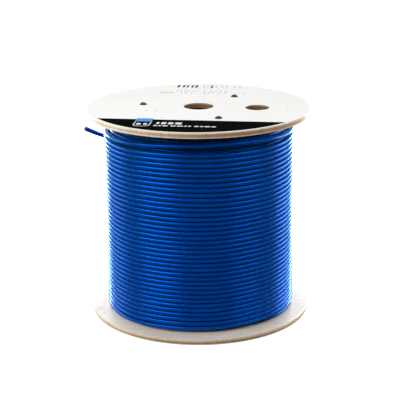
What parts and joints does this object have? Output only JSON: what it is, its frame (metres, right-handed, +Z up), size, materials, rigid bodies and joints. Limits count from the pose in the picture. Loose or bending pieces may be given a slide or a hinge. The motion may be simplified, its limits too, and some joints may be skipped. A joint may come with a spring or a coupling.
{
  "type": "cable reel",
  "caption": "Plywood cable reel wound with blue data cable: two round flanges, a hollow core, tie bolts, and a loose cut cable end.",
  "frame": {"origin": "centre of the lower flange's outer face, on the reel's axis; the reel stands on this face", "axes": "+Z up along the reel's axis, through the arbor hole; +X through the drive holes; the printed face is on top; the loose cable end is on the -X side"},
  "size_m": [0.3391, 0.33, 0.3142],
  "materials": {
    "plywood": "bare plywood, pale face veneers and darker edge plies",
    "printed_sheet": "smooth white paper with dark and blue print",
    "core_board": "spiral-wound brown board, matte",
    "cable_jacket": "glossy blue cable jacket",
    "conductors": "insulated wires, mixed colours",
    "black_bolt": "black oxide steel, satin",
    "zinc_steel": "zinc-plated pressed steel"
  },
  "bodies": {
    "root": {"upper_flange": "plywood", "lower_flange": "plywood", "printed_face_sheet": "printed_sheet", "core_tube": "core_board", "cable_inner_turns": "cable_jacket", "cable_outer_turns": "cable_jacket", "cable_tail": "cable_jacket", "conductor_ends": "conductors", "tie_bolts": "black_bolt", "tee_nuts": "zinc_steel"}
  },
  "joints": []
}
